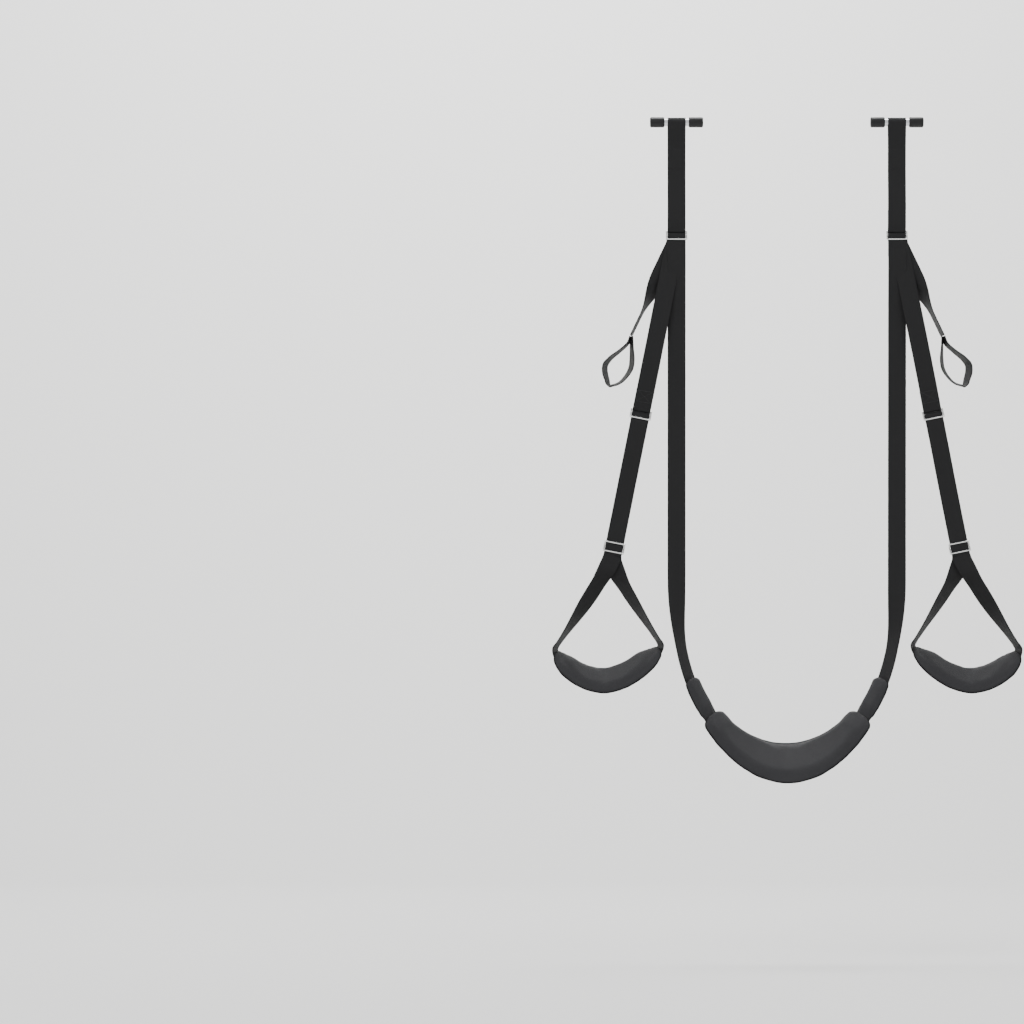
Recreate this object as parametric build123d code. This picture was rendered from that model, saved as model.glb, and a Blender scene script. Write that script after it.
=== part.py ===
"""A webbing suspension sling that hangs from the top of a door.

Two door anchors carry two door straps. A three-bar slide ends each door strap and holds the seat strap,
a leg strap with a padded leg loop, and a hand strap with a hand loop. The seat strap carries a padded seat.

Millimetres, +Z up. The origin is midway between the two anchor tubes, on their common axis, which is X.
Everything hangs about the XZ plane, and the body side of the sling is -Y. The left half is modelled at -X
and mirrored.
"""

from math import acos, cos, degrees, pi, radians, sin
import os

from build123d import *

os.makedirs("parts", exist_ok=True)

# ---- driving dimensions -------------------------------------------------------------------------

strap_spacing = 464.8  # between the two door straps' centrelines
webbing_width = 38.0
webbing_thickness = 1.6
ply_gap = 0.1  # between two plies that are sewn together
layer_gap = 0.35  # between straps that lie on each other and move apart
wrap_gap = 0.3  # between a bar and the webbing folded round it

# door anchor
tube_length = 106.0
tube_radius = 8.0
tube_wall = 1.2
cap_length = 30.5
cap_radius = 11.0
cap_end_wall = 3.0
cap_chamfer = 2.0

# wire slides
wire_radius = 1.6
wire_side_gap = 0.5  # between a strap's edge and the slide's side rail
slide_pitch = 8.4  # between neighbouring bars, along the strap
slider_pitch = 9.8
fold_seam = 16.0  # from a bar to the seam that closes the webbing's fold round it
fold_tail = 44.0  # from a bar to the cut end of the fold
anchor_seam = 46.0  # the same for the door strap's loop round the tube
anchor_tail = 98.0
top_slide_drop = 230.0  # from the anchor axis to the top slide's top bar

# leg strap
leg_lean = 11.3  # degrees outward from straight down
leg_offset = 3.0  # outward from the door strap's line, at the leg strap's upper end
leg_start = 22.0  # from the top slide's top bar to the leg strap's upper end
level_end_reach = 20.0  # a leaning strap's level end runs into its full width over this length
mid_slide_at = 362.8  # from the leg strap's upper end to the mid slide's top bar, along the strap
loop_hinge_at = 674.0  # from the leg strap's upper end to the seam that starts the leg loop
slider_above_hinge = 16.7  # from that seam up to the loop slider's centre bar
return_ply_length = 118.0

# leg loop, from its seam: the two corners and the low point of the sling that carries the pad
loop_corner_out = (-122.5, -198.0)
loop_corner_in = (103.0, -190.0)
loop_low = (-19.5, -268.0)
corner_reach = 12.0
tip_twist = 15.0  # from edge-on, in degrees, at the loop's corners
sling_twist = 31.0  # under the thigh
loop_layer_spread = 5.0  # how far the two legs part front to back where they cross
leg_pad_width = 98.0
leg_pad_thickness = 15.0
leg_pad_end_gap = 3.0
leg_pad_end_round = 62.0

# hand strap and loop
hand_lean = 25.7  # degrees outward
hand_strap_length = 222.0
hand_flat_length = 86.0
hand_turned_at = 166.0  # edge-on from here
hand_loop_drop = 104.0
hand_loop_width = 57.0
hand_corner_reach = 6.0  # from the folded corner to where its bend starts
hand_hinge_gap = 2.4
hand_tip_twist = 8.0  # from edge-on, in degrees, at the hand loop

# seat strap, from the anchor axis
seat_straight_to = 960.0
seat_bend_drop = 1168.4
seat_bend_in = 25.7  # how far inside the door strap's line the seat strap is at the bend
seat_bend_angle = 18.5  # degrees from straight down at the bend
seat_low = 1355.2
seat_forward_to = 420.0  # the seat strap starts in front of the slide's bar, and is back in the
seat_back_from = 900.0  # middle plane here
seat_twist = 36.0  # from edge-on, in degrees, under the pads
seat_pad_half_length = 203.0
seat_pad_width = 136.0
seat_pad_end_width = 88.0
seat_pad_thickness = 17.0
seat_pad_round = 22.0
side_pad_width = 56.0
side_pad_thickness = 11.0
side_pad_round = 14.0
side_pad_from = 180.0  # along the strap from the seat's centre
side_pad_to = 291.0
side_pad_tuck = 3.4  # how thick the side pad is where the seat pad covers it

# pads
pad_edge = 5.0
cover_thickness = 1.2
foam_gap = 0.3
binding_width = 2.4
binding_share = 0.6  # of the pad's edge height
sleeve_width = 62.0
sleeve_thickness = 1.2

# ---- layers, front to back ----------------------------------------------------------------------

half_ply = webbing_thickness / 2
wrap = wire_radius + wrap_gap + half_ply  # bar axis to the middle of the webbing round it
bar_step = wrap + half_ply + 0.2 + wire_radius  # how far each slide bar stands in front of the last
layer = webbing_thickness + layer_gap
ply = webbing_thickness + ply_gap

strap_x = -strap_spacing / 2
seat_y = wrap - bar_step - wrap
hand_y = seat_y - layer
leg_y = hand_y - layer
lower_leg_y = leg_y + wrap - bar_step - wrap
loop_y = -6.0

Y = Vector(0, 1, 0)
DOWN = Vector(0, 0, -1)


# ---- helpers ------------------------------------------------------------------------------------


def leaning(angle):
    """The direction straight down, turned outward on the left side by angle degrees."""
    return Vector(-sin(radians(angle)), 0, -cos(radians(angle)))


def arc(y, s, radius, first, last, steps=8):
    """Points (y, s) on an arc; 0 degrees is behind the centre, 90 above it, 180 in front."""
    turns = [radians(first + (last - first) * k / steps) for k in range(steps + 1)]
    return [(y + radius * cos(a), s - radius * sin(a)) for a in turns]


def flat(origin, down, path):
    """Stations of a strap that lies flat, from its centreline as (y, s), s measured along down."""
    points = [origin + down * s + Y * y for y, s in path]
    across = down.cross(Y)
    stations = []
    for k, point in enumerate(points):
        before = points[max(k - 1, 0)]
        after = points[min(k + 1, len(points) - 1)]
        a, b = point - before, after - point
        a = a.normalized() if a.length else b.normalized()
        b = b.normalized() if b.length else a
        stations.append((point, (a + b).normalized(), across))
    return stations


def twisted(point, along, twist):
    """A station of a strap in the XZ plane: 90 degrees shows its face, 0 its edge."""
    level = Vector(along.X, 0, along.Z).normalized()
    inward = level.cross(Y)
    across = Y * cos(radians(twist)) + inward * sin(radians(twist))
    return point, level, across


def level_end(point):
    """The station where a leaning strap is cut off level."""
    return point, DOWN, Vector(1, 0, 0)


def bezier(points, t):
    """A cubic's point and direction at t."""
    a, b, c, d = points
    u = 1 - t
    place = a * u**3 + b * (3 * t * u * u) + c * (3 * t * t * u) + d * t**3
    along = (b - a) * (u * u) + (c - b) * (2 * t * u) + (d - c) * (t * t)
    return place, along.normalized()


class Route:
    """A centreline of cubic spans, found by distance along it."""

    def __init__(self, spans, steps=24):
        self.places = []
        for n, span in enumerate(spans):
            first = 0 if n == 0 else 1
            self.places += [bezier(span, k / steps) for k in range(first, steps + 1)]
        self.reach = [0.0]
        for (a, _), (b, _) in zip(self.places, self.places[1:]):
            self.reach.append(self.reach[-1] + (b - a).length)
        self.length = self.reach[-1]

    def at(self, distance):
        distance = min(max(distance, 0.0), self.length)
        k = 1
        while k < len(self.reach) - 1 and self.reach[k] < distance:
            k += 1
        share = (distance - self.reach[k - 1]) / (self.reach[k] - self.reach[k - 1])
        (a, da), (b, db) = self.places[k - 1], self.places[k]
        return a * (1 - share) + b * share, (da * (1 - share) + db * share).normalized()


def ease(value, start, end):
    """0 before start, 1 after end, and smooth between."""
    share = min(max((value - start) / (end - start), 0.0), 1.0)
    return (1 - cos(pi * share)) / 2


def spread(first, last, step):
    """Distances from first to last, about step apart."""
    count = max(1, round((last - first) / step))
    return [first + (last - first) * k / count for k in range(count + 1)]


end_shares = [0.04, 0.12, 0.26, 0.46, 0.72]  # of a pad end's radius, close together near its tip


def pad_marks(first, last, radius, step):
    """Distances along a pad, close together near both rounded ends."""
    marks = [first + radius * share for share in end_shares]
    marks += spread(first + radius, last - radius, step)
    return marks + [last - radius * share for share in reversed(end_shares)]


def loft_sections(stations, outlines):
    """A closed solid through one outline per station; an outline is points (across, out)."""
    wires = []
    for (point, along, across), outline in zip(stations, outlines):
        out = along.cross(across)
        wires.append(Wire.make_polygon([point + across * a + out * b for a, b in outline]))
    return Solid.make_loft(wires, ruled=True)


def box_outline(low, high, width):
    return [(-width / 2, low), (width / 2, low), (width / 2, high), (-width / 2, high)]


def webbing(stations):
    """A length of webbing whose middle follows the stations."""
    outline = box_outline(-half_ply, half_ply, webbing_width)
    return loft_sections(stations, [outline] * len(stations))


def wire_frame(origin, down, bars):
    """A slide of round wire: cross bars at (y, s), joined by a rail on each side."""
    across = down.cross(Y)
    half = webbing_width / 2 + wire_side_gap + wire_radius
    frame = None
    for y, s in bars:
        middle = origin + down * s + Y * y
        ends = [middle - across * half, middle + across * half]
        bar = Solid.make_cylinder(wire_radius, 2 * half, Plane(ends[0], z_dir=across))
        frame = bar if frame is None else frame.fuse(bar)
        for end in ends:
            frame = frame.fuse(Solid.make_sphere(wire_radius, Plane(end), -90, 90, 360))
    for (y0, s0), (y1, s1) in zip(bars, bars[1:]):
        rise = down * (s1 - s0) + Y * (y1 - y0)
        for side in (-half, half):
            start = origin + down * s0 + Y * y0 + across * side
            rail = Solid.make_cylinder(wire_radius, rise.length, Plane(start, z_dir=rise))
            frame = frame.fuse(rail)
    return frame


parts = {}


def both_sides(name, solid):
    """Keeps a left-hand piece and its mirror image."""
    parts[f"{name}_left"] = solid
    parts[f"{name}_right"] = mirror(solid, Plane.YZ)


# ---- door anchors -------------------------------------------------------------------------------


def make_anchor():
    middle = Vector(strap_x, 0, 0)
    start = middle - Vector(tube_length / 2, 0, 0)
    axis = Plane(start, z_dir=(1, 0, 0))
    tube = Solid.make_cylinder(tube_radius, tube_length, axis)
    tube = tube.cut(Solid.make_cylinder(tube_radius - tube_wall, tube_length, axis))
    both_sides("anchor_tube", tube)
    for name, side in (("outer", -1), ("inner", 1)):
        face = middle + Vector(side * (tube_length / 2 + cap_end_wall), 0, 0)
        cap = Solid.make_cylinder(cap_radius, cap_length, Plane(face, z_dir=(-side, 0, 0)))
        rims = cap.edges().filter_by(GeomType.CIRCLE)
        cap = cap.chamfer(cap_chamfer, None, rims)
        end = middle + Vector(side * tube_length / 2, 0, 0)
        bore = Solid.make_cylinder(tube_radius, cap_length, Plane(end, z_dir=(-side, 0, 0)))
        both_sides(f"anchor_cap_{name}", cap.cut(bore))


# ---- slides and the straps folded round them ----------------------------------------------------


def slide_bars(first_y, first_s):
    """The three bars of a slide, each standing in front of and below the one before."""
    return [(first_y - k * bar_step, first_s + k * slide_pitch) for k in range(3)]


def fold_under(y, s):
    """A strap's path down in front of a bar at s, round under it and up behind itself to a seam."""
    turn = arc(y + wrap, s, wrap, 180, 360)
    return turn + [(y + 2 * wrap, s - 1), (y + ply, s - fold_seam), (y + ply, s - fold_tail)]


def fold_over(y, s):
    """The path of a strap's end: up behind itself, over a bar at s and down in front of it."""
    tail = [(y + ply, s + fold_tail), (y + ply, s + fold_seam), (y + 2 * wrap, s + 1)]
    return tail + arc(y + wrap, s, wrap, 0, 180)


def make_door_strap():
    ring = tube_radius + wrap_gap + half_ply
    lean = degrees(acos(ring / anchor_seam))
    # the tail starts behind the strap, goes over the tube and comes down in front of it
    loop = arc(0, 0, ring, lean - 90, 270 - lean, 16)
    path = [(ply, anchor_tail), (ply, anchor_seam)] + loop + [(0, anchor_seam)]
    path += fold_under(0, top_slide_drop)
    both_sides("door_strap", webbing(flat(Vector(strap_x, 0, 0), DOWN, path)))


top = Vector(strap_x, 0, 0)
leg_down = leaning(leg_lean)
leg_top = top + DOWN * (top_slide_drop + leg_start) - Vector(leg_offset, 0, 0)


def make_slides():
    both_sides("top_slide", wire_frame(top, DOWN, slide_bars(wrap, top_slide_drop)))
    mid_bars = slide_bars(leg_y + wrap, mid_slide_at)
    both_sides("mid_slide", wire_frame(leg_top, leg_down, mid_bars))
    front = loop_y - half_ply - wrap_gap - wire_radius
    back = loop_y + ply + half_ply + wrap_gap + wire_radius
    centre = loop_hinge_at - slider_above_hinge
    bars = [(front, centre - slider_pitch), (back, centre), (front, centre + slider_pitch)]
    both_sides("loop_slider", wire_frame(leg_top, leg_down, bars))


def make_leg_straps():
    upper = flat(leg_top, leg_down, [(leg_y, level_end_reach)] + fold_under(leg_y, mid_slide_at))
    upper = [level_end(leg_top + Y * leg_y)] + upper
    both_sides("leg_strap_upper", webbing(upper))
    bar = mid_slide_at + slide_pitch
    flat_from = loop_hinge_at - return_ply_length - 12
    lower = fold_over(lower_leg_y, bar) + [(lower_leg_y, bar + 50), (loop_y, flat_from)]
    lower += [(loop_y, loop_hinge_at)]
    both_sides("leg_strap_lower", webbing(flat(leg_top, leg_down, lower)))
    back = loop_y + ply
    ends = [(back, loop_hinge_at - return_ply_length), (back, loop_hinge_at)]
    both_sides("loop_return_ply", webbing(flat(leg_top, leg_down, ends)))


# ---- leg loop -----------------------------------------------------------------------------------

seam_point = leg_top + leg_down * loop_hinge_at
seam_start = seam_point + leg_down * (half_ply + layer_gap + 0.6)


def loop_routes():
    """The outer leg, the sling under the thigh and the inner leg of the loop, as one centreline."""
    out = seam_point + Vector(loop_corner_out[0], 0, loop_corner_out[1])
    inn = seam_point + Vector(loop_corner_in[0], 0, loop_corner_in[1])
    low = seam_point + Vector(loop_low[0], 0, loop_low[1])
    out_leg = Vector(-0.57, 0, -0.82)
    in_leg = Vector(0.54, 0, -0.84)
    out_sling = Vector(0.30, 0, -0.954)
    in_sling = Vector(0.42, 0, 0.907)
    out_end, out_next = out - out_leg * corner_reach, out + out_sling * corner_reach
    in_end, in_next = inn - in_leg * corner_reach, inn - in_sling * corner_reach
    start = seam_start
    return [
        (start, start + leg_down * 20, out_end - out_leg * 105, out_end),
        (out_end, out, out, out_next),
        (out_next, out_next + out_sling * 24, low - Vector(44, 0, 0), low),
        (low, low + Vector(46, 0, 0), in_next - in_sling * 18, in_next),
        (in_next, inn, inn, in_end),
        (in_end, in_end - in_leg * 95, start + leg_down * 24, start),
    ]


loop_route = Route(loop_routes())
outer_leg = Route(loop_routes()[:1]).length
inner_leg = Route(loop_routes()[-1:]).length
corner_length = Route(loop_routes()[1:2]).length


def loop_twist(distance):
    """How far the webbing has turned from edge-on to face-on, in degrees."""
    end = loop_route.length - distance
    if distance < outer_leg:
        left = (1 - 0.5 * ease(distance, 0, 70)) * (1 - ease(distance, 80, outer_leg))
        return tip_twist + (90 - tip_twist) * left
    if end < inner_leg:
        left = (1 - 0.65 * ease(end, 0, 80)) * (1 - ease(end, 60, inner_leg))
        return tip_twist + (90 - tip_twist) * left
    share = (distance - outer_leg) / (loop_route.length - outer_leg - inner_leg)
    return tip_twist + (sling_twist - tip_twist) * max(sin(pi * share), 0) ** 0.8


def loop_depth(distance):
    """How far back a point of the loop lies, so that its two legs pass each other."""
    end = loop_route.length - distance
    if distance < outer_leg:
        return loop_y - loop_layer_spread * ease(distance, 0, 34) * (1 - ease(distance, 60, 160))
    if end < inner_leg:
        back = ply + loop_layer_spread * ease(end, 0, 34)
        return loop_y + back * (1 - ease(end, 80, inner_leg))
    return loop_y


def loop_station(distance):
    point, along = loop_route.at(distance)
    return twisted(point + Y * loop_depth(distance), along, loop_twist(distance))


loop_in_start = loop_route.length - inner_leg
leg_pad_from = outer_leg + corner_length * 0.5 + leg_pad_end_gap
leg_pad_to = loop_in_start - corner_length * 0.5 - leg_pad_end_gap


def loop_marks():
    """The loop's stations, shared by the webbing, the pad on it and the sleeve behind it."""
    marks = spread(0, outer_leg, 12)
    marks += spread(outer_leg, leg_pad_from, 4)[1:-1]
    marks += pad_marks(leg_pad_from, leg_pad_to, leg_pad_end_round, 12)
    marks += spread(leg_pad_to, loop_in_start, 4)[1:]
    marks += spread(loop_in_start, loop_route.length, 12)[1:]
    return marks


def make_leg_loop():
    both_sides("leg_loop_strap", webbing([loop_station(d) for d in loop_marks()]))


# ---- pads ---------------------------------------------------------------------------------------


def pad_outline(width, low, thickness, edge):
    """A pad's cross-section: flat on the strap's side, crowned on the body's side."""
    high = low + thickness
    rim = low + min(edge, 0.6 * thickness)
    crown = 0.62 * width / 2
    half = width / 2
    return [(-half, low), (half, low), (half, rim), (crown, high), (-crown, high), (-half, rim)]


def rounded_share(distance, radius):
    """A pad's width near a rounded end, as a share of its full width."""
    if distance >= radius:
        return 1.0
    return (1 - (1 - distance / radius) ** 2.4) ** 0.5


def make_pad(name, station, strap_marks, first, last, radius, width, thickness, low, keep):
    """The cover, foam and binding of a pad that lies on the strap between two distances.

    width, thickness and low are functions of the distance: low is where its flat side lies.
    """
    marks = [d for d in strap_marks if first < d < last]
    stations = [station(d) for d in marks]

    def sections(inset):
        outlines = []
        for d in marks:
            share = rounded_share(min(d - first, last - d), radius)
            wide = width(d) * share - 2 * inset
            thick = thickness(d) - 2 * inset
            outlines.append(pad_outline(wide, low(d) + inset, thick, pad_edge - 2 * inset))
        return outlines

    def inner(inset):
        """The same pad, smaller all round by inset."""
        outlines = sections(inset)
        return loft_sections(stations[1:-1], outlines[1:-1])

    cover = loft_sections(stations, sections(0.0))
    foam = inner(cover_thickness + foam_gap)
    keep(f"{name}_cover", cover.cut(inner(cover_thickness)))
    keep(f"{name}_foam", foam)
    plates = []
    for d, outline in zip(marks, sections(0.0)):
        half_width, rim = outline[2]
        middle = (low(d) + rim) / 2
        half = binding_share * (rim - low(d)) / 2
        plates.append(box_outline(middle - half, middle + half, 2 * half_width + 2 * binding_width))
    tip = binding_width - radius * end_shares[0]
    ends = [station(first - tip), station(last + tip)]
    plates = [plates[0]] + plates + [plates[-1]]
    plate = loft_sections([ends[0]] + stations + [ends[1]], plates)
    keep(f"{name}_binding", plate.cut(cover))


pad_low = half_ply + ply_gap


def make_leg_pad():
    first, last = leg_pad_from, leg_pad_to

    def thickness(d):
        inset = min(d - first, last - d)
        return 8.0 + (leg_pad_thickness - 8.0) * ease(inset, 0, 50)

    make_pad(
        "leg_pad", loop_station, loop_marks(), first, last, leg_pad_end_round,
        lambda d: leg_pad_width, thickness, lambda d: pad_low, both_sides,
    )
    # a flat sleeve on the outer face, sewn to the cover along both sides, that the webbing runs through
    half = sleeve_width / 2
    deep = half_ply + ply_gap + sleeve_thickness
    wall = sleeve_thickness
    channel = [
        (-half, pad_low), (-half, -deep), (half, -deep), (half, pad_low),
        (half - wall, pad_low), (half - wall, wall - deep), (wall - half, wall - deep), (wall - half, pad_low),
    ]
    stations = [loop_station(d) for d in loop_marks() if first + 22 < d < last - 22]
    both_sides("leg_pad_sleeve", loft_sections(stations, [channel] * len(stations)))


# ---- hand strap and loop ------------------------------------------------------------------------

hand_down = leaning(hand_lean)
hand_top = top + DOWN * (top_slide_drop + 2 * slide_pitch + wire_radius + 2.2)
hand_end = hand_top + hand_down * hand_strap_length


def make_hand_strap():
    stations = [level_end(hand_top + Y * hand_y)]
    for s in [level_end_reach] + spread(hand_flat_length, hand_strap_length, 6):
        left = 1 - ease(s, hand_flat_length, hand_turned_at)
        twist = hand_tip_twist + (90 - hand_tip_twist) * left
        point = hand_top + hand_down * s
        stations.append(twisted(point + Y * hand_y, hand_down, twist))
    both_sides("hand_strap", webbing(stations))


def make_hand_loop():
    start = hand_end + hand_down * hand_hinge_gap
    side = half_ply + ply_gap / 2
    left, right = start + Vector(-side, 0, 0), start + Vector(side, 0, 0)
    bulge = start + Vector(-hand_loop_width, 0, -0.53 * hand_loop_drop)
    corner = start + Vector(-0.85 * hand_loop_width, 0, -hand_loop_drop)
    heel = start + Vector(1.5, 0, -0.55 * hand_loop_drop)
    side_in, side_out = Vector(0.07, 0, -0.997), Vector(0.96, 0, 0.28)
    bend, turned = corner - side_in * hand_corner_reach, corner + side_out * hand_corner_reach
    outer_side = [
        (left, left + Vector(-3, 0, -16), bulge - DOWN * 36, bulge),
        (bulge, bulge + DOWN * 22, bend - side_in * 8, bend),
    ]
    fold = [(bend, bend + side_in * 4, turned - side_out * 4, turned)]
    inner_side = [
        (turned, turned + side_out * 18, heel + DOWN * 30, heel),
        (heel, heel - DOWN * 24, right + DOWN * 14, right),
    ]
    route = Route(outer_side + fold + inner_side)
    fold_from = Route(outer_side).length
    fold_to = fold_from + Route(fold).length
    marks = spread(0, fold_from, 7) + spread(fold_from, fold_to, 1.2)[1:-1]
    marks += spread(fold_to, route.length, 7)
    stations = []
    for s in marks:
        point, along = route.at(s)
        stations.append(twisted(point + Y * hand_y, along, hand_tip_twist + 4 * sin(pi * s / route.length)))
    both_sides("hand_loop", webbing(stations))


# ---- seat ---------------------------------------------------------------------------------------


def seat_route():
    """The left half of the seat strap's curve, from the seat's centre up to the straight part."""
    bend = Vector(strap_x + seat_bend_in, 0, -seat_bend_drop)
    slope = Vector(sin(radians(seat_bend_angle)), 0, -cos(radians(seat_bend_angle)))
    low = Vector(0, 0, -seat_low)
    straight = Vector(strap_x, 0, -seat_straight_to)
    return Route([
        (straight, straight + DOWN * 100, bend - slope * 60, bend),
        (bend, bend + slope * 105, low - Vector(90, 0, 0), low),
    ])


seat = seat_route()


def seat_station(distance):
    """A station of the seat strap at a distance from the seat's centre, negative on the left."""
    point, along = seat.at(seat.length - abs(distance))
    twist = 90 - (90 - seat_twist) * ease(abs(distance), seat.length + 30, seat.length - 160)
    left = twisted(point + Y * seat_depth(-point.Z), along, twist)
    if distance <= 0:
        return left
    point, along, across = left
    return Vector(-point.X, point.Y, point.Z), Vector(along.X, 0, -along.Z), Vector(-across.X, across.Y, across.Z)


def seat_depth(drop):
    """The seat strap starts in front of the slide's centre bar and comes back to the middle plane."""
    return seat_y * (1 - ease(drop, seat_forward_to, seat_back_from))


def seat_marks():
    """The seat strap's stations, shared by the webbing and every pad on it."""
    side = pad_marks(-side_pad_to, -side_pad_from, side_pad_round, 10)
    end = [-seat_pad_half_length + seat_pad_round * share for share in end_shares]
    middle = spread(-seat_pad_half_length + seat_pad_round, 0, 13)
    left = sorted(spread(-seat.length, -side_pad_to - 4, 13) + side + end + middle)
    return left + [-d for d in reversed(left[:-1])]


def make_seat_strap():
    bar = top_slide_drop + slide_pitch
    drops = spread(seat_forward_to, seat_straight_to - 40, 70)
    path = fold_over(seat_y, bar) + [(seat_depth(s), s) for s in drops]
    half = flat(top, DOWN, path)
    half += [seat_station(d) for d in seat_marks() if d <= 0]
    other = [
        (Vector(-p.X, p.Y, p.Z), Vector(a.X, -a.Y, -a.Z), Vector(-c.X, c.Y, c.Z))
        for p, a, c in reversed(half[:-1])
    ]
    parts["seat_strap"] = webbing(half + other)


def keep_one(name, solid):
    parts[name] = solid


def make_seat_pads():
    end = seat_pad_half_length

    def wide(d):
        return seat_pad_end_width + (seat_pad_width - seat_pad_end_width) * (1 - ease(abs(d), 0, end))

    def lifted(d):
        return pad_low + (side_pad_tuck + 2 * ply_gap) * ease(abs(d), side_pad_from - 26, side_pad_from - 5)

    make_pad(
        "seat_pad", seat_station, seat_marks(), -end, end, seat_pad_round, wide,
        lambda d: seat_pad_thickness - 5.0 * ease(abs(d), end - 60, end), lifted, keep_one,
    )

    def side_thickness(d):
        clear = end + binding_width + 1
        return side_pad_tuck + (side_pad_thickness - side_pad_tuck) * ease(-d, clear, clear + 16)

    make_pad(
        "side_pad", seat_station, seat_marks(), -side_pad_to, -side_pad_from, side_pad_round,
        lambda d: side_pad_width, side_thickness, lambda d: pad_low, both_sides,
    )


make_anchor()
make_door_strap()
make_slides()
make_leg_straps()
make_leg_loop()
make_leg_pad()
make_hand_strap()
make_hand_loop()
make_seat_strap()
make_seat_pads()

for name, solid in parts.items():
    export_step(solid, f"parts/{name}.step")
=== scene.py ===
import math

import bmesh
import bpy
import numpy as np
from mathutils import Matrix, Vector
from mathutils.bvhtree import BVHTree


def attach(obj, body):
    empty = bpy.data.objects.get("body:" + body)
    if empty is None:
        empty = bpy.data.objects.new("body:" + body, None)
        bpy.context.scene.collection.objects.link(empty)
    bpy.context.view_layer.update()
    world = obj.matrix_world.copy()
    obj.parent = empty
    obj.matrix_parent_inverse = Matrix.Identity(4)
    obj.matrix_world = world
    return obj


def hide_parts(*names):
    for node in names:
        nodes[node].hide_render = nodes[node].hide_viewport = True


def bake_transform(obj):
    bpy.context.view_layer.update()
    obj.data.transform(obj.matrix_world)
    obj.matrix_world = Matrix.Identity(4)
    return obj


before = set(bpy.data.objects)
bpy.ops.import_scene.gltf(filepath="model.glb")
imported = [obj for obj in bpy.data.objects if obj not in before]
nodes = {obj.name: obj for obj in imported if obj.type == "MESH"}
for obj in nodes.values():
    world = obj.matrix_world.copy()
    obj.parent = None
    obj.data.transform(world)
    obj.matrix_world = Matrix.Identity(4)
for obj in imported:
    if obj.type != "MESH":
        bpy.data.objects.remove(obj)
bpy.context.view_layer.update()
mm = 0.001

# ---- floor, light and camera ----------------------------------------------------------------------
# A pale, matt paper floor that curves up into a wall behind the sling. It is lit softly from both sides,
# and a third light brightens the wall, so that the black webbing stands out against it.


def linear(code):
    """Linear RGBA from an sRGB hex code."""
    parts = [int(code[k : k + 2], 16) / 255 for k in (1, 3, 5)]
    return [p / 12.92 if p <= 0.04045 else ((p + 0.055) / 1.055) ** 2.4 for p in parts] + [1]


def node(tree, kind, settings=None, **links):
    """Adds a shader node. Each link is a value or a (node, output) pair, and goes to the input that it is
    named for: i with a number is the input of that number, and other names have _ for each space."""
    made = tree.nodes.new(kind)
    for key, value in (settings or {}).items():
        setattr(made, key, value)
    for key, value in links.items():
        number = int(key[1:]) if key[0] == "i" and key[1:].isdigit() else key.replace("_", " ")
        if isinstance(value, tuple) and isinstance(value[0], bpy.types.Node):
            tree.links.new(value[0].outputs[value[1]], made.inputs[number])
        else:
            made.inputs[number].default_value = value
    return made


def material(name):
    """An empty material, its tree and its Principled shader."""
    made = bpy.data.materials.new(name)
    made.use_nodes = True
    return made, made.node_tree, made.node_tree.nodes["Principled BSDF"]


def alone(obj):
    """Selects one object and nothing else."""
    bpy.ops.object.select_all(action="DESELECT")
    obj.select_set(True)
    bpy.context.view_layer.objects.active = obj


# Matt paper, nearly white: it takes soft shadows and gives back no gloss.
paper, tree, shader = material("pale_floor")
shader.inputs["Base Color"].default_value = linear("#f4f4f3")
shader.inputs["Roughness"].default_value = 0.9

floor_size = 16
floor_level = -1.78
wall_at = 2.6
wall_height = 7
curve_radius = 1.4

bpy.ops.mesh.primitive_plane_add(size=1, location=(0, 0, 0))
floor = bpy.context.object
floor.name = "floor"
bpy.ops.object.mode_set(mode="EDIT")
bpy.ops.transform.resize(value=(floor_size, floor_size, 1), center_override=(0, 0, 0))
bpy.ops.transform.translate(value=(0, wall_at - floor_size / 2, floor_level))
bpy.ops.mesh.select_all(action="DESELECT")
edit = bmesh.from_edit_mesh(floor.data)
for edge in edit.edges:
    edge.select = all(v.co.y > wall_at - 0.1 for v in edge.verts)
bmesh.update_edit_mesh(floor.data)
bpy.ops.mesh.extrude_region_move(TRANSFORM_OT_translate={"value": (0, 0, wall_height)})
bpy.ops.mesh.select_all(action="DESELECT")
edit = bmesh.from_edit_mesh(floor.data)
for edge in edit.edges:
    edge.select = all(v.co.y > wall_at - 0.1 and v.co.z < floor_level + 0.1 for v in edge.verts)
bmesh.update_edit_mesh(floor.data)
bpy.ops.mesh.bevel(offset=curve_radius, segments=24)
bpy.ops.object.mode_set(mode="OBJECT")
bpy.ops.object.shade_smooth()
floor.data.materials.append(paper)


def area_light(name, place, target, size, power):
    """A square light at place, facing target."""
    light = bpy.data.lights.new(name, "AREA")
    light.shape = "SQUARE"
    light.size = size
    light.energy = power
    holder = bpy.data.objects.new(name, light)
    bpy.context.scene.collection.objects.link(holder)
    holder.location = place
    holder.rotation_euler = (Vector(target) - Vector(place)).to_track_quat("-Z", "Y").to_euler()


middle_of_sling = (0, 0, -0.7)
area_light("key", (-2.6, -3.6, 1.7), middle_of_sling, 2.2, 110)
area_light("fill", (3.2, -3.2, 0.4), middle_of_sling, 2.6, 60)
area_light("wall", (-0.6, 0.9, 2.6), (-0.6, 2.4, -1.0), 2.4, 160)

world = bpy.data.worlds.new("studio")
bpy.context.scene.world = world
world.use_nodes = True
sky = world.node_tree.nodes["Background"]
sky.inputs["Color"].default_value = (1, 1, 1, 1)
sky.inputs["Strength"].default_value = 1.0

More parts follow.
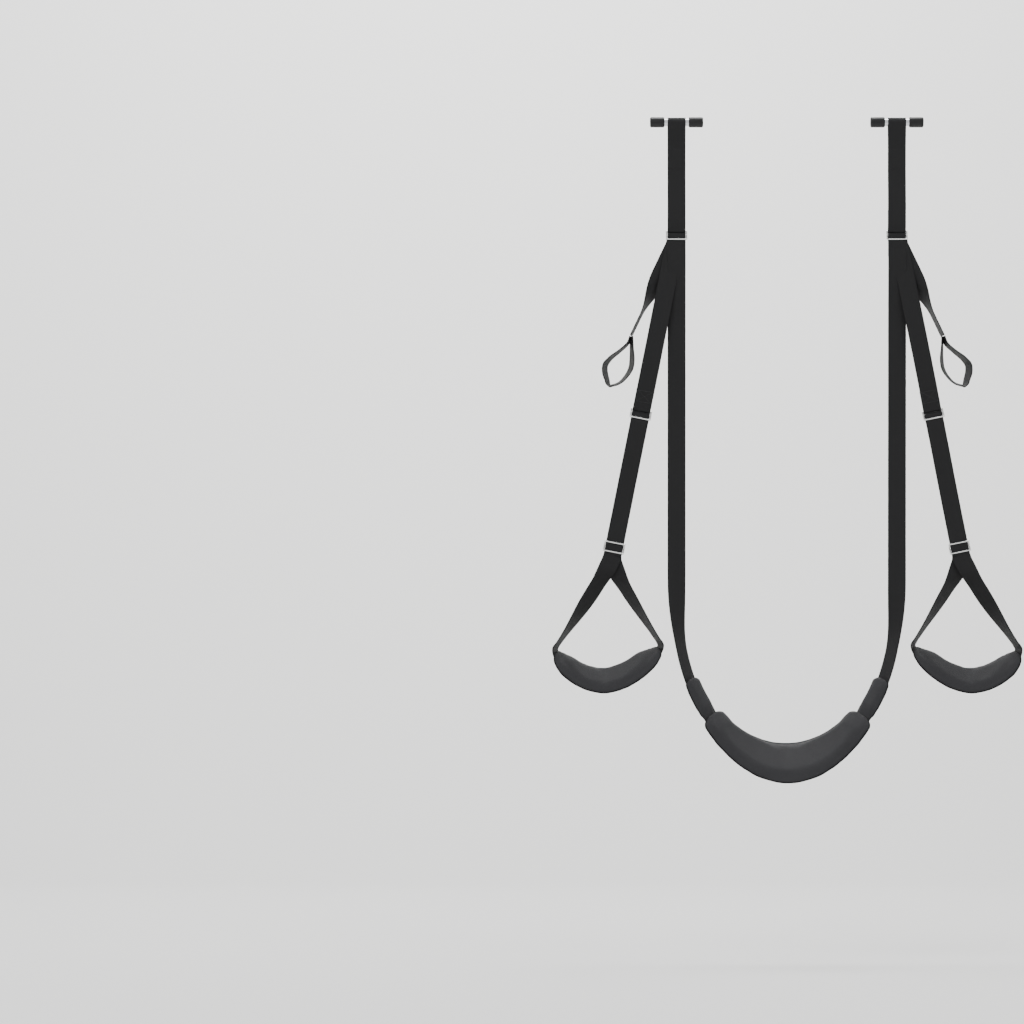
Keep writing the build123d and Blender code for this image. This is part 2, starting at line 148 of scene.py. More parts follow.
# A long lens 12 m in front, which takes in 2.16 m at the sling.
camera = bpy.data.objects.new("camera", bpy.data.cameras.new("camera"))
bpy.context.scene.collection.objects.link(camera)
camera.location = (-0.5795, -12.0, -0.822)
camera.rotation_euler = (math.pi / 2, 0, 0)
camera.data.lens = 200
camera.data.sensor_width = 36
bpy.context.scene.camera = camera

# ---- webbing --------------------------------------------------------------------------------------
# Black polypropylene webbing, 38 mm wide and 1.6 mm thick, woven flat with a fine rib along its length and
# a firm edge. Every strap is cut from it, folded round a bar or laid on itself, and sewn with black thread.

webbing_width = 38 * mm
webbing_thick = 1.6 * mm


def weave(name, colour, rib, pick, depth, sheen, rough):
    """Cloth woven along its UV: rib is the yarns' pitch across, pick along, and depth the relief, in metres.
    Each rib is an arch with a wave along it, and the next one is half a wave on."""
    made, tree, shader = material(name)
    uv = node(tree, "ShaderNodeUVMap", {"uv_map": "UVMap"})
    place = node(tree, "ShaderNodeSeparateXYZ", None, Vector=(uv, 0))
    across = node(tree, "ShaderNodeMath", {"operation": "DIVIDE"}, i0=(place, 0), i1=rib)
    up = node(tree, "ShaderNodeMath", {"operation": "DIVIDE"}, i0=(place, 1), i1=pick)
    yarn = node(tree, "ShaderNodeMath", {"operation": "FLOOR"}, i0=(across, 0))
    shift = node(tree, "ShaderNodeMath", {"operation": "MULTIPLY"}, i0=(yarn, 0), i1=0.5)
    along = node(tree, "ShaderNodeMath", {"operation": "ADD"}, i0=(up, 0), i1=(shift, 0))
    turns = node(tree, "ShaderNodeMath", {"operation": "MULTIPLY"}, i0=(along, 0), i1=2 * math.pi)
    wave = node(tree, "ShaderNodeMath", {"operation": "SINE"}, i0=(turns, 0))
    half = node(tree, "ShaderNodeMath", {"operation": "MULTIPLY"}, i0=(across, 0), i1=math.pi)
    arch = node(tree, "ShaderNodeMath", {"operation": "SINE"}, i0=(half, 0))
    ridge = node(tree, "ShaderNodeMath", {"operation": "ABSOLUTE"}, i0=(arch, 0))
    low = node(tree, "ShaderNodeMath", {"operation": "MULTIPLY_ADD"}, i0=(wave, 0), i1=0.25, i2=0.5)
    height = node(tree, "ShaderNodeMath", {"operation": "MULTIPLY"}, i0=(low, 0), i1=(ridge, 0))
    bump = node(tree, "ShaderNodeBump", None, Strength=1.0, Distance=depth, Height=(height, 0))
    fuzz = node(tree, "ShaderNodeTexNoise", None, Vector=(uv, 0), Scale=260.0, Detail=3.0)
    fuzz_and_relief_shading = node(tree, "ShaderNodeMath", {"operation": "MULTIPLY_ADD"}, i0=(fuzz, 0), i1=0.35, i2=(height, 0))
    # The colour follows the relief: painted shade darkens the hollows between the yarns and a painted
    # highlight lightens their tops, with a random fuzz of tone over both.
    painted_shade_factor, painted_highlight_factor = 0.62, 1.22
    painted_shade_colour = [c * painted_shade_factor for c in linear(colour)[:3]] + [1]
    light = [c * painted_highlight_factor for c in linear(colour)[:3]] + [1]
    mix = node(tree, "ShaderNodeMix", {"data_type": "RGBA"}, i0=(fuzz_and_relief_shading, 0), i6=painted_shade_colour, i7=light)
    tree.links.new(mix.outputs[2], shader.inputs["Base Color"])
    tree.links.new(bump.outputs[0], shader.inputs["Normal"])
    shader.inputs["Roughness"].default_value = rough
    shader.inputs["Sheen Weight"].default_value = sheen
    shader.inputs["Sheen Roughness"].default_value = 0.4
    shader.inputs["Specular IOR Level"].default_value = 0.14
    return made


# The yarns of all three cloths are too fine to show, so they are drawn about twice as coarse as they are.
# Webbing: black all through, with a dull face; its ribs are painted lighter (painted highlight) and the
# hollows between them darker (painted shade).
webbing = weave("polypropylene_webbing", "#19191a", 1.9 * mm, 2.6 * mm, 0.35 * mm, 0.02, 0.6)
# Knitted pad cover: dark grey and soft, with a faint bloom at its edges.
knit = weave("knitted_polyester", "#2c2c2e", 0.8 * mm, 0.9 * mm, 0.12 * mm, 0.07, 0.8)
# Binding tape: a tighter, flatter weave, the darkest of the three.
tape = weave("binding_tape", "#101011", 1.2 * mm, 0.7 * mm, 0.2 * mm, 0.02, 0.7)

# Sewing thread: a shade lighter than the webbing and a little glossier, so that its stitches can be seen.
thread, tree, shader = material("polyester_thread")
shader.inputs["Base Color"].default_value = linear("#222223")
shader.inputs["Roughness"].default_value = 0.45
shader.inputs["Specular IOR Level"].default_value = 0.3


def unit(rows):
    """Each row at length 1."""
    return rows / np.linalg.norm(rows, axis=1)[:, None]


def matching(rail, master, ahead):
    """Points of a rail that has extra ones: one beside each point of the master rail, in the same order."""
    kept, first = [], 0
    for n, (point, along) in enumerate(zip(master, ahead)):
        last = len(rail) - (len(master) - n)
        gaps = {k: abs((rail[k] - point) @ along) + abs(k - n) * 0.1 * mm for k in range(first, last + 1)}
        best = min(gaps, key=gaps.get)
        kept.append(rail[best])
        first = best + 1
    return np.array(kept)


def sections(name):
    """The four corners of each cross-section of a CAD strap, from one cut end to the other, as (N, 4, 3).
    A corner of a cut end is where three sharp edges meet, and a rail is the sharp edge that leaves it along
    the strap."""
    solid = bmesh.new()
    solid.from_mesh(nodes[name].data)
    bmesh.ops.remove_doubles(solid, verts=solid.verts, dist=0.02 * mm)
    sharp = {v: [] for v in solid.verts}
    for edge in solid.edges:
        if len(edge.link_faces) == 2 and edge.calc_face_angle() > 0.8:
            for v in edge.verts:
                sharp[v].append(edge.other_vert(v))
    corners = [v for v in solid.verts if len(sharp[v]) == 3]

    def rail_start(corner):
        """The next point along the strap from a corner of its cut end."""
        inner = [v for v in sharp[corner] if v not in corners]
        return inner[0] if inner else max(sharp[corner], key=lambda v: (v.co - corner.co).length)

    first = max(corners, key=lambda v: v.co.z)
    cap = [first]
    for wanted in (max, min, max):
        near = [v for v in sharp[cap[-1]] if v is not rail_start(cap[-1])]
        cap.append(wanted(near, key=lambda v: (v.co - cap[-1].co).length))
    rails = []
    for corner in cap:
        rail, here = [corner.co.copy(), rail_start(corner).co.copy()], rail_start(corner)
        before = corner
        while len(sharp[here]) != 3 and len(rail) < len(sharp):
            ahead = [v for v in sharp[here] if v is not before][0]
            before, here = here, ahead
            rail.append(here.co.copy())
        rails.append(rail)
    solid.free()
    rails = [np.array(r) for r in rails]
    master = min(rails, key=len)
    ahead = unit(np.gradient(master, axis=0))
    matched = []
    for rail in rails:
        if len(rail) != len(master):
            rail = matching(rail, master, ahead)
        matched.append(rail)
    return np.array(matched).transpose(1, 0, 2)


def smooth_through(points, reach, at):
    """The places, at distances at, of a smooth curve that passes through points at the distances reach."""
    slope = np.gradient(points, reach, axis=0)
    k = np.clip(np.searchsorted(reach, at) - 1, 0, len(reach) - 2)
    gap = (reach[k + 1] - reach[k])[:, None]
    t = (at - reach[k])[:, None] / gap
    a, b, c, d = points[k], slope[k] * gap, points[k + 1], slope[k + 1] * gap
    return a + b * t + (3 * c - 3 * a - 2 * b - d) * t**2 + (2 * a - 2 * c + b + d) * t**3


class Line:
    """A strap's middle line, with the directions across it, out of its face and along it."""

    def __init__(self, source, step=3 * mm):
        """source is a CAD strap's name, or points with the direction across at each."""
        if isinstance(source, str):
            found = sections(source)
            middle = found.mean(1)
            across = unit(found[:, 1] - found[:, 0])
        else:
            middle, across = source
        reach = np.concatenate([[0], np.cumsum(np.linalg.norm(np.diff(middle, axis=0), axis=1))])
        self.length = reach[-1]
        ahead = unit(np.diff(middle, axis=0))
        turn = np.degrees(np.arccos(np.clip((ahead[1:] * ahead[:-1]).sum(1), -1, 1)))
        turn = np.maximum(np.append(turn, 0), np.insert(turn, 0, 0))
        marks = [
            np.linspace(a, b, max(2, math.ceil((b - a) / step), math.ceil(bend / 6)), endpoint=False)
            for a, b, bend in zip(reach, reach[1:], turn)
        ]
        self.at = np.append(np.concatenate(marks), self.length)
        self.middle = smooth_through(middle, reach, self.at)
        self.across = smooth_through(across, reach, self.at)
        self.settle()

    def settle(self):
        """Squares the directions to each other; out faces -Y at the upper end."""
        self.along = unit(np.gradient(self.middle, axis=0))
        self.across -= self.along * (self.across * self.along).sum(1)[:, None]
        self.across = unit(self.across)
        self.out = np.cross(self.along, self.across)
        if self.out[len(self.at) // 12, 1] > 0:
            self.across, self.out = -self.across, -self.out

    def loosen(self, bar, most=0.9 * mm, reach=7 * mm):
        """Stands the fold round a bar a little off it."""
        away = self.middle - np.array(bar)
        away -= self.across * (away * self.across).sum(1)[:, None]
        far = np.linalg.norm(away, axis=1)
        near = np.clip((reach - far) / (reach - 2.7 * mm), 0, 1)
        self.middle += away / far[:, None] * (most * near**2)[:, None]
        self.settle()
        return self

    def grow(self, first, last):
        """Carries the strap on, straight, at its two ends."""
        for end, by in ((0, -first), (-1, last)):
            extra = self.middle[end] + self.along[end] * by
            place = 0 if end == 0 else len(self.at)
            self.middle = np.insert(self.middle, place, extra, axis=0)
            self.across = np.insert(self.across, place, self.across[end], axis=0)
            self.at = np.insert(self.at, place, self.at[end] + by)
        self.settle()
        return self

    def point(self, d, a=0.0, b=0.0):
        """The point at distance d, a across and b out."""
        middle, across, out = (
            np.array([np.interp(d, self.at, rows[:, k]) for k in range(3)])
            for rows in (self.middle, self.across, self.out)
        )
        return middle + across * a + out * b

    def measure(self, points):
        """Distance along, across and out of each point."""
        far = ((points[:, None, :] - self.middle[None]) ** 2).sum(2)
        k = far.argmin(1)
        away = points - self.middle[k]
        d = self.at[k] + (away * self.along[k]).sum(1)
        return np.stack([d, (away * self.across[k]).sum(1), (away * self.out[k]).sum(1)], 1)

    def nearest(self, point):
        """The distance along at which the line passes nearest to a point."""
        return self.at[((self.middle - np.array(point)) ** 2).sum(1).argmin()]


def ribbon(name, line):
    """Webbing laid along a line, with UVs in metres across and along."""
    rows = len(line.at)
    bpy.ops.mesh.primitive_grid_add(x_subdivisions=8, y_subdivisions=rows - 1, size=1)
    strap = bpy.context.object
    strap.name = strap.data.name = name
    count = len(strap.data.vertices)
    columns = count // rows
    a = np.tile(np.linspace(-0.5, 0.5, columns), rows) * webbing_width
    row = np.repeat(np.arange(rows), columns)
    place = line.middle[row] + line.across[row] * a[:, None]
    strap.data.vertices.foreach_set("co", place.ravel())
    loops = np.zeros(len(strap.data.loops), int)
    strap.data.loops.foreach_get("vertex_index", loops)
    uv = np.stack([a + webbing_width / 2, line.at[row]], 1)[loops]
    strap.data.uv_layers[0].name = "UVMap"
    strap.data.uv_layers[0].data.foreach_set("uv", uv.ravel())
    solid = strap.modifiers.new("thickness", "SOLIDIFY")
    solid.thickness = webbing_thick
    solid.offset = 0
    round_edge = strap.modifiers.new("selvedge", "BEVEL")
    round_edge.width = 0.5 * mm
    round_edge.segments = 2
    round_edge.angle_limit = 1.1
    alone(strap)
    for modifier in ("thickness", "selvedge"):
        bpy.ops.object.modifier_apply(modifier=modifier)
    bpy.ops.object.mode_set(mode="EDIT")
    bpy.ops.mesh.select_all(action="SELECT")
    bpy.ops.mesh.normals_make_consistent(inside=False)
    bpy.ops.object.mode_set(mode="OBJECT")
    bpy.ops.object.shade_smooth_by_angle(angle=0.9)
    strap.data.materials.append(webbing)
    return strap


def mirrored(obj, name):
    """The right-hand twin of a left-hand piece."""
    twin = obj.copy()
    twin.data = obj.data.copy()
    twin.name = twin.data.name = name
    bpy.context.scene.collection.objects.link(twin)
    twin.data.transform([[-1, 0, 0, 0], [0, 1, 0, 0], [0, 0, 1, 0], [0, 0, 0, 1]])
    twin.data.flip_normals()
    return twin


def both(obj, name, body, covers=()):
    """Names a left-hand piece, gives it its twin, and puts each on its body in place of its CAD nodes.
    With no body, the pair is left unattached."""
    obj.name = obj.data.name = f"{name}_left"
    pair = {"left": obj, "right": mirrored(obj, f"{name}_right")}
    for side, piece in pair.items():
        if body:
            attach(piece, body.format(side))
        if covers:
            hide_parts(*[f"{c}_{side}" for c in covers])
    return pair


def stitches(name, runs, length=2.6 * mm, gap=1.0 * mm, radius=0.32 * mm):
    """Rows of stitches. Each run is its points and the direction out of the cloth at each, both (N, 3)."""
    bpy.ops.mesh.primitive_uv_sphere_add(segments=8, ring_count=6, radius=1)
    shape = bpy.context.object
    base = np.array([v.co for v in shape.data.vertices]) * [length / 2, radius, radius]
    faces = [list(p.vertices) for p in shape.data.polygons]
    bpy.data.objects.remove(shape)
    points, polygons = [], []
    for places, outs in runs:
        reach = np.concatenate([[0], np.cumsum(np.linalg.norm(np.diff(places, axis=0), axis=1))])
        for d in np.arange(length / 2, reach[-1] - length / 3, length + gap):
            here, ahead, out = (
                np.array([np.interp(x, reach, rows[:, k]) for k in range(3)])
                for x, rows in ((d, places), (d + 0.1 * mm, places), (d, outs))
            )
            along = (ahead - here) / np.linalg.norm(ahead - here)
            side = np.cross(out, along)
            side /= np.linalg.norm(side)
            up = np.cross(along, side)
            first = len(points) * len(base)
            points.append(here + base[:, :1] * along + base[:, 1:2] * side + base[:, 2:] * up)
            polygons += [[first + v for v in face] for face in faces]
    made = bpy.data.meshes.new(name)
    made.from_pydata(np.concatenate(points).tolist(), [], polygons)
    obj = bpy.data.objects.new(name, made)
    bpy.context.scene.collection.objects.link(obj)
    alone(obj)
    bpy.ops.object.shade_smooth()
    made.materials.append(thread)
    return obj


def run(line, corners, b):
    """A row of stitches, b out from a strap's middle, through corners given as (distance, across)."""
    spots = []
    for (d0, a0), (d1, a1) in zip(corners, corners[1:]):
        count = max(2, round(math.hypot(d1 - d0, a1 - a0) / (2 * mm)))
        spots += [(d0 + (d1 - d0) * k / count, a0 + (a1 - a0) * k / count) for k in range(count + 1)]
    places = np.array([line.point(d, a, b) for d, a in spots])
    outs = np.array([line.point(d, a, b + mm) - line.point(d, a, b) for d, a in spots])
    return places, outs


def tack(line, first, last, b, half=15.5 * mm):
    """A box of stitches with a cross in it."""
    box = [(first, -half), (first, half), (last, half), (last, -half), (first, -half)]
    cross = [(first, -half), (last, half)], [(first, half), (last, -half)]
    return [run(line, box, b)] + [run(line, c, b) for c in cross]


face = webbing_thick / 2 + 0.05 * mm  # where a stitch's middle lies, out from the webbing's

# ---- door straps ----------------------------------------------------------------------------------
# Each is one length of webbing that goes over its anchor bar and down to the top bar of the top slide. Its
# two ends are folded back behind it and sewn down with a box and a cross of stitches.

strap_x = -0.2324
first_bar_y, first_bar_z = 2.7 * mm, -0.230
bar_step = 5.3 * mm  # how much further forward each bar of a slide lies than the one above it
bar_drop = 8.4 * mm  # how much lower
top_bars = [(strap_x, first_bar_y - bar_step * k, first_bar_z - bar_drop * k) for k in range(3)]
door_line = Line("door_strap_left").loosen(top_bars[0])
door_strap = ribbon("door_strap", door_line)
low_bar = door_line.nearest((strap_x, 0, first_bar_z))
high_bar = door_line.nearest((strap_x, 0, -0.046))
both(door_strap, "door_strap", "door_strap_{}", ["door_strap"])
door_tacks = tack(door_line, high_bar + 4 * mm, high_bar + 46 * mm, face)
door_tacks += tack(door_line, low_bar - 42 * mm, low_bar - 18 * mm, face)
both(stitches("door_tack", door_tacks), "door_tack", "door_strap_{}")

# ---- anchor bars ----------------------------------------------------------------------------------
# Each is a polished steel tube that lies behind the top of the door and holds the strap, with a moulded black
# rubber cap pushed on each end so that it doesn't mark the door.

# Polished steel: a bright mirror with a faint blue cast.
steel, tree, shader = material("polished_steel")
shader.inputs["Base Color"].default_value = linear("#d3d5d8")
shader.inputs["Metallic"].default_value = 1
shader.inputs["Roughness"].default_value = 0.14

# Moulded rubber: black, with a low sheen broken by a fine grain.
rubber, tree, shader = material("moulded_rubber")
place = node(tree, "ShaderNodeTexCoord")
grain = node(tree, "ShaderNodeTexNoise", None, Vector=(place, 3), Scale=900.0, Detail=2.0)
relief = node(tree, "ShaderNodeBump", None, Strength=0.5, Distance=0.00008, Height=(grain, 0))
tree.links.new(relief.outputs[0], shader.inputs["Normal"])
shader.inputs["Base Color"].default_value = linear("#141415")
shader.inputs["Roughness"].default_value = 0.34
shader.inputs["Specular IOR Level"].default_value = 0.25

for side in ("left", "right"):
    tube = nodes[f"anchor_tube_{side}"]
    tube.data.materials.clear()
    tube.data.materials.append(steel)
    for end in ("outer", "inner"):
        cap = nodes[f"anchor_cap_{end}_{side}"].copy()
        cap.data = cap.data.copy()
        cap.parent = None
        bpy.context.scene.collection.objects.link(cap)
        cap.name = cap.data.name = f"cap_{end}_{side}"
        alone(cap)
        bpy.ops.object.mode_set(mode="EDIT")
        bpy.ops.mesh.select_all(action="SELECT")
        bpy.ops.mesh.remove_doubles(threshold=0.00001)
        bpy.ops.object.mode_set(mode="OBJECT")
        soft = cap.modifiers.new("soft", "BEVEL")
        soft.width = 0.7 * mm
        soft.segments = 3
        soft.angle_limit = 0.6
        bpy.ops.object.modifier_apply(modifier="soft")
        bpy.ops.object.shade_smooth_by_angle(angle=0.7)
        cap.data.materials.clear()
        cap.data.materials.append(rubber)
        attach(cap, "door_anchors")
        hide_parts(f"anchor_cap_{end}_{side}")

# ---- wire slides ----------------------------------------------------------------------------------
# Each is bent from 3.2 mm steel wire and nickel-plated: three bars joined by a rail on each side. The straps
# are folded round the bars, at the door strap's foot, half way down the leg and at the top of the leg loop.

# Nickel plate: brighter and whiter than the steel.
nickel, tree, shader = material("nickel_plate")
shader.inputs["Base Color"].default_value = linear("#dcdcdb")
shader.inputs["Metallic"].default_value = 1
shader.inputs["Roughness"].default_value = 0.12

for kind in ("top_slide", "mid_slide", "loop_slider"):
    for side in ("left", "right"):
        slide = nodes[f"{kind}_{side}"]
        slide.data.materials.clear()
        slide.data.materials.append(nickel)

# ---- leg straps -----------------------------------------------------------------------------------
# Each hangs from its top slide and leans outwards to the leg loop, in two lengths of webbing joined by the
# mid slide. The loop's end comes back up behind the lower length, as a second ply.

lean = math.radians(11.3)
leg_down = np.array([-math.sin(lean), 0, -math.cos(lean)])
leg_top = np.array([strap_x - 3 * mm, -9.2 * mm, -0.252])
mid_slide_at = 362.8 * mm
mid_bars = [
    leg_top + leg_down * (mid_slide_at + bar_drop * k) + [0, first_bar_y - bar_step * k, 0] for k in range(3)
]
upper_line = Line("leg_strap_upper_left").loosen(mid_bars[0])
upper_strap = ribbon("leg_strap_upper", upper_line)
pair = both(upper_strap, "leg_strap_upper", None, ["leg_strap_upper"])


def hinge_blend(pieces):
    """Bakes the transform of each piece of a pair into its mesh."""
    for side, flip in (("left", 1), ("right", -1)):
        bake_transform(pieces[side])


hinge_blend(pair)
lower_line = Line("leg_strap_lower_left").loosen(mid_bars[1])
lower_strap = ribbon("leg_strap_lower", lower_line)
both(lower_strap, "leg_strap_lower", "leg_strap_lower_{}", ["leg_strap_lower"])
return_ply = ribbon("loop_return_ply", Line("loop_return_ply_left"))
both(return_ply, "loop_return_ply", "leg_strap_lower_{}", ["loop_return_ply"])
mid_bar = upper_line.nearest(leg_top + leg_down * mid_slide_at)
both(
    stitches("mid_tack", tack(upper_line, mid_bar - 42 * mm, mid_bar - 18 * mm, face)),
    "mid_tack",
    "leg_strap_upper_{}",
)
seam = lower_line.length
both(
    stitches("seam_tack", tack(lower_line, seam - 26 * mm, seam - 4 * mm, face)),
    "seam_tack",
    "leg_strap_lower_{}",
)

# ---- leg loops ------------------------------------------------------------------------------------
# Below its slider the strap opens into a loop, which carries a padded sling 98 mm wide. The pad is foam in a
# knitted cover, its edge is bound in tape, and a sleeve under it holds it on the strap.

loop_line = Line("leg_loop_strap_left").grow(2 * mm, 2 * mm)
pair = both(ribbon("leg_loop_strap", loop_line), "leg_loop_strap", None, ["leg_loop_strap"])
hinge_blend(pair)


def outer_shell(name, cover):
    """A copy of a CAD pad cover with only its widest part, the outside, left."""
    pad = nodes[cover].copy()
    pad.data = pad.data.copy()
    pad.parent = None
    bpy.context.scene.collection.objects.link(pad)
    pad.name = pad.data.name = name
    shell = bmesh.new()
    shell.from_mesh(pad.data)
    bmesh.ops.remove_doubles(shell, verts=shell.verts, dist=0.02 * mm)
    groups, seen = [], set()
    for v in shell.verts:
        if v in seen:
            continue
        group, todo = [], [v]
        seen.add(v)
        while todo:
            here = todo.pop()
            group.append(here)
            for edge in here.link_edges:
                other = edge.other_vert(here)
                if other not in seen:
                    seen.add(other)
                    todo.append(other)
        groups.append(group)
    groups.sort(key=lambda g: max(v.co.x for v in g) - min(v.co.x for v in g))
    bmesh.ops.delete(shell, geom=[v for g in groups[:-1] for v in g], context="VERTS")
    shell.to_mesh(pad.data)
    shell.free()
    return pad


def even_out(pad, rounds):
    """Smooths a pad's mesh."""
    even = pad.modifiers.new("even", "SMOOTH")
    even.iterations = rounds
    bpy.ops.object.modifier_apply(modifier="even")


def blow_up(pad):
    """Fills a pad with air, as cloth."""
    cloth = pad.modifiers.new("cloth", "CLOTH")
    cloth.settings.quality = 5
    cloth.settings.mass = 0.2
    cloth.settings.tension_stiffness = 18
    cloth.settings.compression_stiffness = 18
    cloth.settings.bending_stiffness = 0.6
    cloth.settings.use_pressure = True
    cloth.settings.uniform_pressure_force = 4
    cloth.settings.effector_weights.gravity = 0
    cloth.collision_settings.use_collision = False
    last_frame = 20
    cloth.point_cache.frame_start = 1
    cloth.point_cache.frame_end = last_frame
    for step in range(1, last_frame + 1):
        bpy.context.scene.frame_set(step)
    bpy.ops.object.modifier_apply(modifier="cloth")
    bpy.context.scene.frame_set(1)


def stuffed(name, cover, line, low, shrink=2.0 * mm, most=5 * mm):
    """A foam pad in its cover: the CAD cover, made smaller by shrink and then blown up as cloth, by no more
    than most. No point of it lies lower than low, measured out from the middle of its strap."""
    pad = outer_shell(name, cover)
    alone(pad)
    grid = pad.modifiers.new("grid", "REMESH")
    grid.mode = "VOXEL"
    grid.voxel_size = 4 * mm
    bpy.ops.object.modifier_apply(modifier="grid")
    even_out(pad, 3)
    normals = np.array([v.normal for v in pad.data.vertices])
    start = np.array([v.co for v in pad.data.vertices]) - normals * shrink
    pad.data.vertices.foreach_set("co", start.ravel())
    pad.data.update()
    blow_up(pad)
    now = np.array([v.co for v in pad.data.vertices])
    swell = np.clip(((now - start) * normals).sum(1), 0.3 * shrink, most)
    links = np.array([e.vertices[:] for e in pad.data.edges])
    count = np.bincount(links.ravel(), minlength=len(now))
    for _ in range(6):
        total = np.bincount(links[:, 0], swell[links[:, 1]], len(now))
        total += np.bincount(links[:, 1], swell[links[:, 0]], len(now))
        swell = (swell + total / count) / 2
    now = start + normals * swell[:, None]
    place = line.measure(now)
    sunk = np.maximum(low - place[:, 2], 0)
    k = np.abs(line.at[None] - place[:, :1]).argmin(1)
    now += line.out[k] * sunk[:, None]
    pad.data.vertices.foreach_set("co", now.ravel())
    even_out(pad, 4)
    finer = pad.modifiers.new("finer", "SUBSURF")
    finer.levels = 1
    bpy.ops.object.modifier_apply(modifier="finer")
    points = np.array([v.co for v in pad.data.vertices])
    place = line.measure(points)
    while pad.data.uv_layers:
        pad.data.uv_layers.remove(pad.data.uv_layers[0])
    layer = pad.data.uv_layers.new(name="UVMap")
    loops = np.zeros(len(pad.data.loops), int)
    pad.data.loops.foreach_get("vertex_index", loops)
    layer.data.foreach_set("uv", (place[:, [1, 0]] + [0.2, 0])[loops].ravel())
    bpy.ops.object.shade_smooth()
    pad.data.materials.clear()
    pad.data.materials.append(knit)
    return pad


def end_share(d, radius):
    """A pad's width near a rounded end, as a share of its full width."""
    return 1.0 if d >= radius else (1 - (1 - max(d, 0) / radius) ** 2.4) ** 0.5


def rim(pad, line, first, last, radius, half, height, out=0.4 * mm):
    """The line round a pad's edge, laid on its surface. half gives the pad's half width at a distance along,
    radius rounds its ends, and height is how far out from the strap the edge is looked for."""
    reach = [first + (last - first) * (1 - math.cos(math.pi * k / 60)) / 2 for k in range(61)]
    edge = [(d, half(d) * end_share(min(d - first, last - d), radius)) for d in reach]
    edge += [(d, -a) for d, a in reversed(edge[1:-1])]
    body = bmesh.new()
    body.from_mesh(pad.data)
    tree = BVHTree.FromBMesh(body)
    spots = []
    for d, a in edge:
        spot, normal, _, _ = tree.find_nearest(Vector(line.point(d, a, height)))
        spots.append(spot + normal * out)
    body.free()
    return np.array(spots)


def piping(name, spots, radius=1.7 * mm):
    """Binding tape folded over a pad's edge, as a closed round."""
    curve = bpy.data.curves.new(name, "CURVE")
    curve.dimensions = "3D"
    spline = curve.splines.new("NURBS")
    spline.points.add(len(spots) - 1)
    spline.points.foreach_set("co", np.hstack([spots, np.ones((len(spots), 1))]).ravel())
    spline.use_cyclic_u = True
    spline.order_u = 4
    curve.bevel_depth = radius
    curve.bevel_resolution = 3
    curve.resolution_u = 3
    obj = bpy.data.objects.new(name, curve)
    bpy.context.scene.collection.objects.link(obj)
    alone(obj)
    bpy.ops.object.convert(target="MESH")
    obj = bpy.context.object
    bpy.ops.object.mode_set(mode="EDIT")
    bpy.ops.mesh.select_all(action="SELECT")
    bpy.ops.uv.cube_project(cube_size=1)
    bpy.ops.object.mode_set(mode="OBJECT")
    bpy.ops.object.shade_smooth()
    obj.data.materials.append(tape)
    return obj


leg_cover = np.array([v.co for v in nodes["leg_pad_cover_left"].data.vertices])
reach = loop_line.measure(leg_cover)[:, 0]
pad_from, pad_to = reach.min(), reach.max()
leg_pad = stuffed("leg_pad", "leg_pad_cover_left", loop_line, 0.9 * mm)
leg_rim = rim(leg_pad, loop_line, pad_from, pad_to, 62 * mm, lambda d: 49 * mm, 4 * mm)
leg_binding = piping("leg_pad_binding", leg_rim)
pair = both(leg_pad, "leg_pad", "leg_loop_{}", ["leg_pad_cover", "leg_pad_foam"])
both(leg_binding, "leg_pad_piping", "leg_loop_{}", ["leg_pad_binding"])
for side in ("left", "right"):
    sleeve = nodes[f"leg_pad_sleeve_{side}"]
    sleeve.data.materials.clear()
    sleeve.data.materials.append(knit)

# ---- hand straps and hand loops -------------------------------------------------------------------
# One tape for both: it hangs from the top slide beside the leg strap, leans outwards, and is turned edge-on
# before it is folded into a loop for the hand. The loop is closed by a seam at its top.

hand_lean = math.radians(25.7)
hand_down = np.array([-math.sin(hand_lean), 0, -math.cos(hand_lean)])
inward = np.cross(hand_down, [0, 1, 0])
reach = np.arange(0, 223, 6.0)
places = np.array([strap_x, -7.25 * mm, -0.2506]) + hand_down * (reach * mm)[:, None]
flat_to, turning, edge_on = 58, 117, 8  # flat to 58 mm, then turns over 117 mm until it is 8 degrees open
flat_share = (1 + np.cos(math.pi * np.clip((reach - flat_to) / turning, 0, 1))) / 2
twist = np.radians(edge_on + (90 - edge_on) * flat_share)[:, None]
hand_line = Line((places, np.array([[0, 1, 0]]) * np.cos(twist) + inward * np.sin(twist)))
both(ribbon("hand_strap", hand_line), "hand_strap", "seat_sling", ["hand_strap"])
top_of_grip = hand_line.middle[-1] + [0, 0, -1.2 * mm]
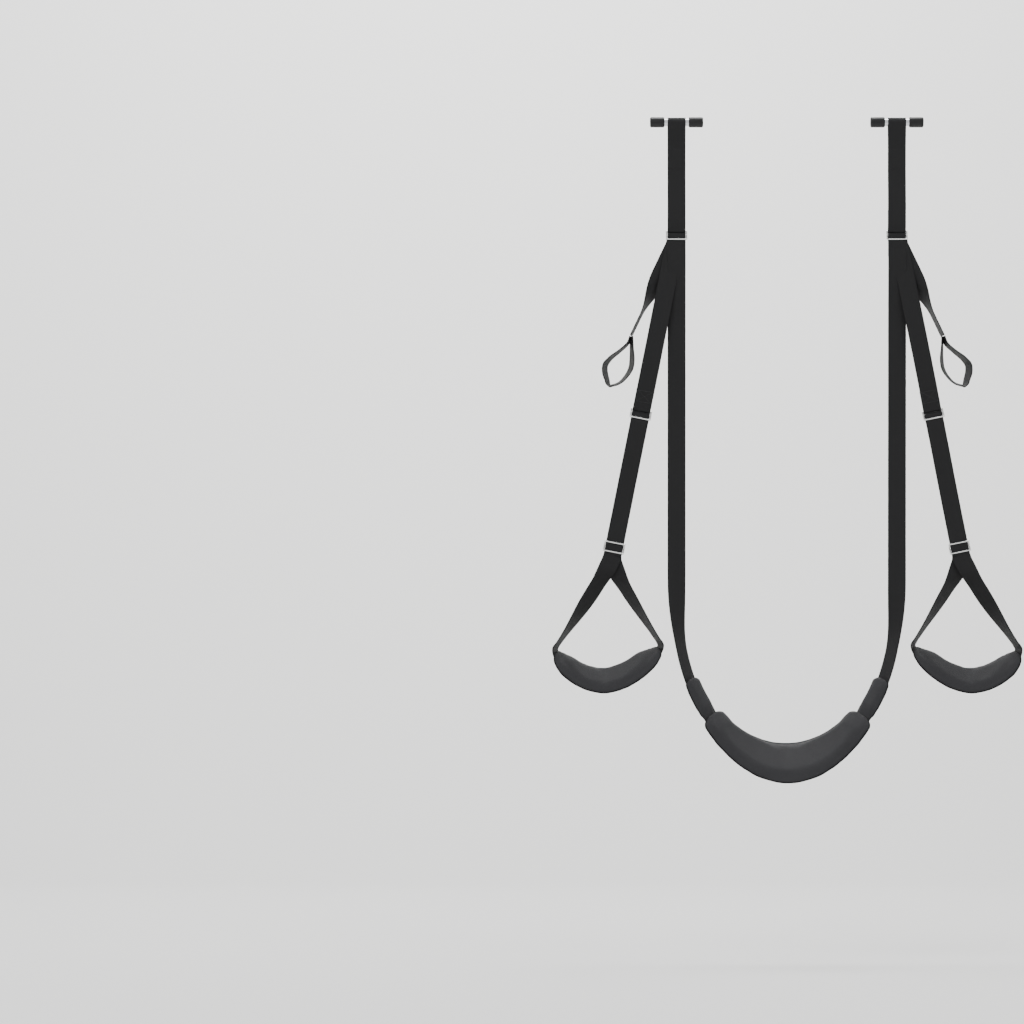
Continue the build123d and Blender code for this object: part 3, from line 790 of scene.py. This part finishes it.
# Down the outer side, round the folded corner and up the inner side, as mm outwards (minus) and mm down, with
# how many degrees open the tape is at each point.
grip = [
    *[(-0.6, 0, 8), (-5.5, -13, 8), (-24, -31, 9), (-45, -48, 13), (-54, -60, 17), (-55, -74, 18)],
    *[(-51, -90, 16), (-47.2, -101.5, 11), (-44.6, -104.6, 8), (-40, -103.6, 7), (-26, -99, 8)],
    *[(-10, -84, 11), (0, -66, 14), (2.2, -50, 14), (1.6, -26, 10), (0.9, 0, 8)],
]
places = np.array([top_of_grip + np.array([x, 0, z]) * mm for x, z, _ in grip])
turn = np.radians([degrees for _, _, degrees in grip])[:, None]
ahead = unit(np.gradient(places, axis=0))
upright = np.array([[0, 1, 0]]) * np.cos(turn) + np.cross(ahead, [0, 1, 0]) * np.sin(turn)
grip_line = Line((places, upright), 2 * mm)
pair = both(ribbon("hand_loop", grip_line), "hand_loop", None, ["hand_loop"])
hinge_blend(pair)

# ---- seat -----------------------------------------------------------------------------------------
# One strap hangs in a U from slide to slide, folded round the middle bar of each. It carries the wide seat
# pad at the bottom and, at that pad's ends, two small side pads, all of foam in knitted covers.

seat_line = Line("seat_strap").loosen(top_bars[1]).loosen(np.array(top_bars[1]) * [-1, 1, 1])
seat_strap = ribbon("seat_webbing", seat_line)
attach(seat_strap, "seat_sling")
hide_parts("seat_strap")
centre = seat_line.nearest((0, 0, -1.355))
seat_pad = stuffed("seat_pad", "seat_pad_cover", seat_line, 0.9 * mm)
end = 203 * mm


def seat_half(d):
    """Half the seat pad's width, at a distance along its strap."""
    back = (1 - math.cos(math.pi * min(abs(d - centre) / end, 1))) / 2
    return 44 * mm + 24 * mm * (1 - back)


seat_rim = rim(seat_pad, seat_line, centre - end, centre + end, 22 * mm, seat_half, 5 * mm)
seat_binding = piping("seat_pad_piping", seat_rim)
for piece, slot, covers in (
    (seat_pad, "pad_fabric", ["seat_pad_cover", "seat_pad_foam"]),
    (seat_binding, "binding_tape", ["seat_pad_binding"]),
):
    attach(piece, "seat_sling")
    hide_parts(*covers)

side_pad = stuffed("side_pad", "side_pad_cover_left", seat_line, 0.9 * mm, 1.0 * mm, 3 * mm)
side_from, side_to = centre - 291 * mm, centre - 180 * mm
side_rim = rim(side_pad, seat_line, side_from, side_to, 14 * mm, lambda d: 28 * mm, 3 * mm)
side_binding = piping("side_pad_piping", side_rim, 1.4 * mm)
pair = both(side_pad, "side_pad", "seat_sling", ["side_pad_cover", "side_pad_foam"])
both(side_binding, "side_pad_piping", "seat_sling", ["side_pad_binding"])
